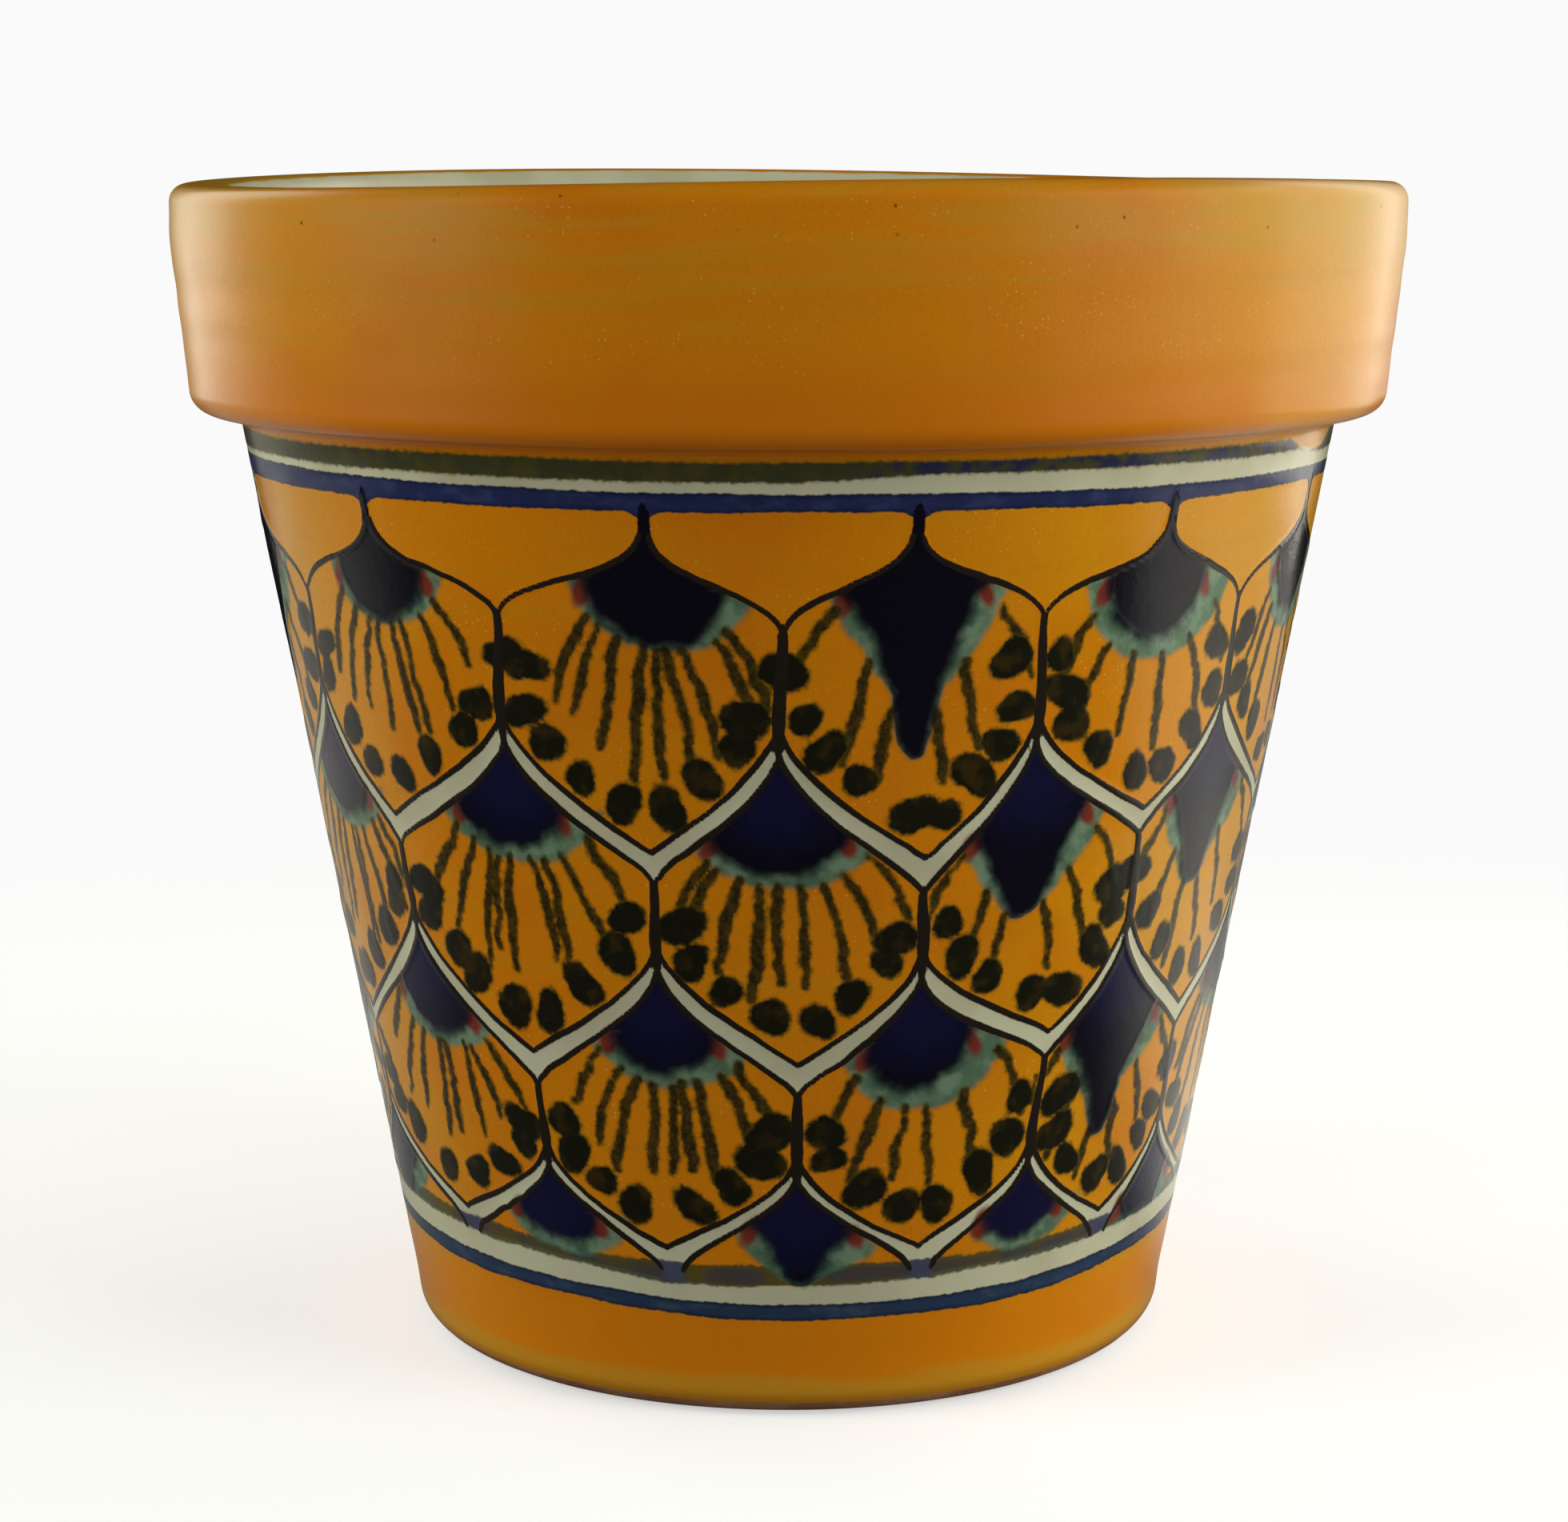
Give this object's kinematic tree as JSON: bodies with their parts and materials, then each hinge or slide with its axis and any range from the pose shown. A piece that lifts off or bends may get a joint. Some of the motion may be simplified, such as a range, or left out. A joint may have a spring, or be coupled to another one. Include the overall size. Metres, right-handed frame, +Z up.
{
  "type": "glazed flowerpot",
  "caption": "Tapered ceramic flowerpot with a thick rolled rim, drain hole and coats of painted tin glaze in a scale pattern.",
  "frame": {"origin": "on the floor, under the pot's axis, at the centre of the foot ring", "axes": "+Z up along the pot's axis of revolution; the pot is round, so +X and +Y are free"},
  "size_m": [0.254, 0.254, 0.241],
  "materials": {
    "terracotta": "bare fired earthenware, matte",
    "cream_glaze": "glossy tin glaze",
    "orange_glaze": "glossy orange-yellow glaze",
    "dark_glaze": "glossy, cobalt over yellow",
    "cobalt_glaze": "glossy watery cobalt",
    "painted_glaze": "glossy, hand painted scale pattern"
  },
  "bodies": {
    "root": {"base_slab": "terracotta", "wall": "terracotta", "rim_collar": "terracotta", "inside_glaze": "cream_glaze", "rim_glaze": "orange_glaze", "upper_dark_band": "dark_glaze", "upper_white_stripe": "cream_glaze", "upper_cobalt_band": "cobalt_glaze", "painted_field": "painted_glaze", "lower_blue_wash": "cobalt_glaze", "lower_white_stripe": "cream_glaze", "lower_cobalt_band": "cobalt_glaze", "foot_glaze": "orange_glaze"}
  },
  "joints": []
}
